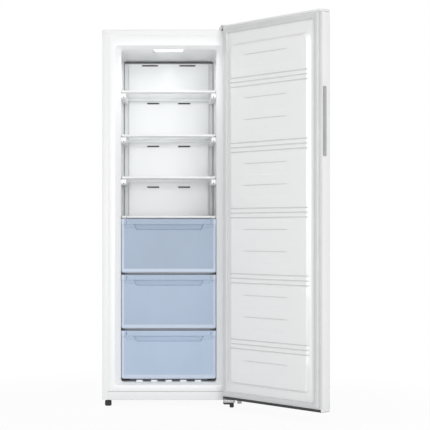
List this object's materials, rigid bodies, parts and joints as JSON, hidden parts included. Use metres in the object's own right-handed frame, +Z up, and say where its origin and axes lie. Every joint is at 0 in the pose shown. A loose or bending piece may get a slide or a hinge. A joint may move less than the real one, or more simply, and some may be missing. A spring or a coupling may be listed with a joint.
{
  "type": "upright freezer",
  "caption": "Tall white upright freezer with its single right-hinged door open, glass shelves above and blue-tinted clear drawers below.",
  "frame": {"origin": "on the floor under the middle of the front face of the case", "axes": "+Z up, +Y back into the case, +X to the viewer's right when facing the open front"},
  "size_m": [0.9626, 1.1026, 1.7005],
  "materials": {
    "case_paint": "satin",
    "zinc_sheet": "satin",
    "bracket_steel": "satin",
    "liner_plastic": "satin",
    "door_liner_plastic": "satin",
    "foam": "matte",
    "trim_white": "satin",
    "trim_black": "satin",
    "grip_grey": "matte",
    "gasket_rubber": "matte",
    "foot_rubber": "matte",
    "clear_glass": "gloss",
    "drawer_blue": "gloss",
    "lens": "satin",
    "board_green": "satin",
    "fin_aluminium": "satin",
    "pipe_metal": "satin",
    "machine_black": "satin",
    "screw_steel": "satin"
  },
  "bodies": {
    "cabinet": {"back_panel": "zinc_sheet", "base_plate": "zinc_sheet", "bottom_hinge_bracket": "bracket_steel", "compressor": "machine_black", "compressor_mounts": "foot_rubber", "condenser_coil": "machine_black", "defrost_heater": "fin_aluminium", "drain_tube": "trim_white", "drip_tray": "trim_black", "evaporator_cover": "liner_plastic", "evaporator_fins": "fin_aluminium", "evaporator_tube": "fin_aluminium", "fan_housing": "trim_white", "fan_motor": "machine_black", "foot_guard": "trim_black", "front_rail": "case_paint", "hinge_screws": "screw_steel", "inner_liner": "liner_plastic", "insulation_foam": "foam", "lamp_board": "board_green", "lamp_lens": "lens", "machine_bulkhead": "zinc_sheet", "machine_cover": "zinc_sheet", "power_inlet": "trim_black", "refrigerant_pipes": "pipe_metal", "roller_brackets": "zinc_sheet", "shelf_rails": "liner_plastic", "side_panel_left": "case_paint", "side_panel_right": "case_paint", "top_hinge_bracket": "case_paint", "top_hinge_cover": "trim_white", "top_panel": "case_paint"},
    "door": {"door_skin": "case_paint", "door_foam": "foam", "door_liner": "door_liner_plastic", "door_gasket": "gasket_rubber", "door_top_cap": "trim_white", "door_bottom_cap": "trim_black", "door_handle": "grip_grey", "hinge_bushes": "trim_white", "control_panel": "trim_black", "door_stop": "grip_grey"},
    "fan": {"fan_rotor": "trim_white"},
    "left_roller": {"roller_left": "trim_black"},
    "right_roller": {"roller_right": "trim_black"},
    "left_foot": {"foot_left": "trim_black"},
    "right_foot": {"foot_right": "trim_black"},
    "lower_glass_1": {"drawer_shelf_1": "clear_glass"},
    "lower_glass_2": {"drawer_shelf_2": "clear_glass"},
    "shelf_1": {"shelf_frame_1": "trim_white", "shelf_glass_1": "clear_glass"},
    "shelf_2": {"shelf_frame_2": "trim_white", "shelf_glass_2": "clear_glass"},
    "shelf_3": {"shelf_frame_3": "trim_white", "shelf_glass_3": "clear_glass"},
    "shelf_4": {"shelf_frame_4": "trim_white", "shelf_glass_4": "clear_glass"},
    "sliding_drawer_1": {"drawer_1": "drawer_blue"},
    "sliding_drawer_2": {"drawer_2": "drawer_blue"},
    "sliding_drawer_3": {"drawer_3": "drawer_blue"}
  },
  "joints": [
    {"name": "door_hinge", "type": "hinge", "parent": "cabinet", "child": "door", "pos_m": [0.2805, -0.047, 0.04], "axis": [0, 0, 1], "range_deg": [-130, 0]},
    {"name": "shelf_1_slide", "type": "slide", "parent": "cabinet", "child": "shelf_1", "axis": [0, -1, 0], "range_m": [0, 0.3]},
    {"name": "shelf_2_slide", "type": "slide", "parent": "cabinet", "child": "shelf_2", "axis": [0, -1, 0], "range_m": [0, 0.3]},
    {"name": "shelf_3_slide", "type": "slide", "parent": "cabinet", "child": "shelf_3", "axis": [0, -1, 0], "range_m": [0, 0.3]},
    {"name": "shelf_4_slide", "type": "slide", "parent": "cabinet", "child": "shelf_4", "axis": [0, -1, 0], "range_m": [0, 0.3]},
    {"name": "lower_glass_1_slide", "type": "slide", "parent": "cabinet", "child": "lower_glass_1", "axis": [0, -1, 0], "range_m": [0, 0.3]},
    {"name": "lower_glass_2_slide", "type": "slide", "parent": "cabinet", "child": "lower_glass_2", "axis": [0, -1, 0], "range_m": [0, 0.3]},
    {"name": "drawer_1_slide", "type": "slide", "parent": "cabinet", "child": "sliding_drawer_1", "axis": [0, -1, 0], "range_m": [0, 0.33]},
    {"name": "drawer_2_slide", "type": "slide", "parent": "cabinet", "child": "sliding_drawer_2", "axis": [0, -1, 0], "range_m": [0, 0.33]},
    {"name": "drawer_3_slide", "type": "slide", "parent": "cabinet", "child": "sliding_drawer_3", "axis": [0, -1, 0], "range_m": [0, 0.22]},
    {"name": "fan_spin", "type": "hinge", "parent": "cabinet", "child": "fan", "pos_m": [0, 0.46, 0.78], "axis": [0, 1, 0], "continuous": true},
    {"name": "left_roller_spin", "type": "hinge", "parent": "cabinet", "child": "left_roller", "pos_m": [-0.25, 0.545, 0.012], "axis": [1, 0, 0], "continuous": true},
    {"name": "right_roller_spin", "type": "hinge", "parent": "cabinet", "child": "right_roller", "pos_m": [0.25, 0.545, 0.012], "axis": [1, 0, 0], "continuous": true},
    {"name": "left_foot_screw", "type": "slide", "parent": "cabinet", "child": "left_foot", "axis": [0, 0, -1], "range_m": [0, 0.012]},
    {"name": "right_foot_screw", "type": "slide", "parent": "cabinet", "child": "right_foot", "axis": [0, 0, -1], "range_m": [0, 0.012]}
  ]
}
